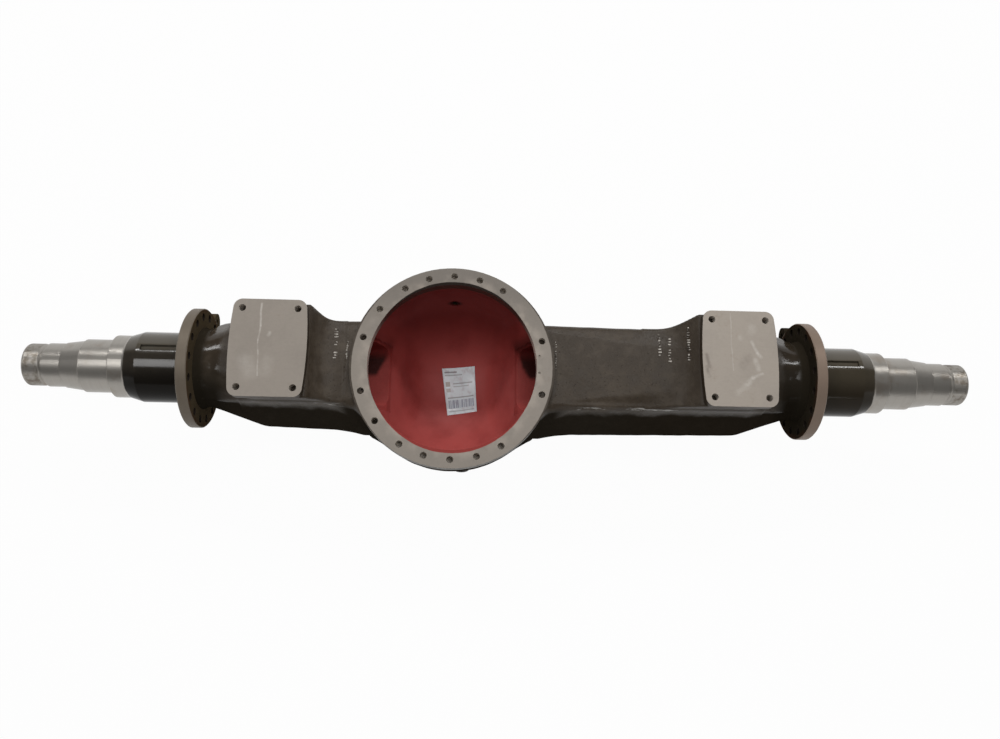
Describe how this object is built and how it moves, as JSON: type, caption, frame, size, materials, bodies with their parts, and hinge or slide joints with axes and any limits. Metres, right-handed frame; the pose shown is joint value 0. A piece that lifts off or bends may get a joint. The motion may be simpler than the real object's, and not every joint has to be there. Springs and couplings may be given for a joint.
{
  "type": "axle housing",
  "caption": "Cast truck axle housing with a closed bowl behind a round carrier opening, spring pads, drilled brake flanges and hollow wheel spindles.",
  "frame": {"origin": "middle of the carrier face, on the axis of the carrier opening", "axes": "+X along the axle toward the long arm, +Y toward the edge of the ring that is uppermost in the picture, +Z out of the carrier opening; the axle line is 75 mm behind the carrier face"},
  "size_m": [1.96, 0.426, 0.338],
  "materials": {
    "casting_paint": "dark grey-brown gloss paint over a rough casting; bare machined ring and pads, red primer inside the bowl",
    "flange_steel": "bare turned rim with a brown tinge, painted inner side with rust marks",
    "spindle_paint": "dark gloss paint on the root, bare ground journals and threaded end",
    "plug_steel": "painted over with the casting",
    "seal_copper": "soft copper, dull",
    "breather_brass": "plated, dull"
  },
  "bodies": {
    "root": {"housing_casting": "casting_paint", "brake_flange_left": "flange_steel", "brake_flange_right": "flange_steel", "spindle_left": "spindle_paint", "spindle_right": "spindle_paint", "drain_plug": "plug_steel", "drain_seal": "seal_copper", "filler_plug": "plug_steel", "filler_seal": "seal_copper", "breather": "breather_brass"}
  },
  "joints": []
}
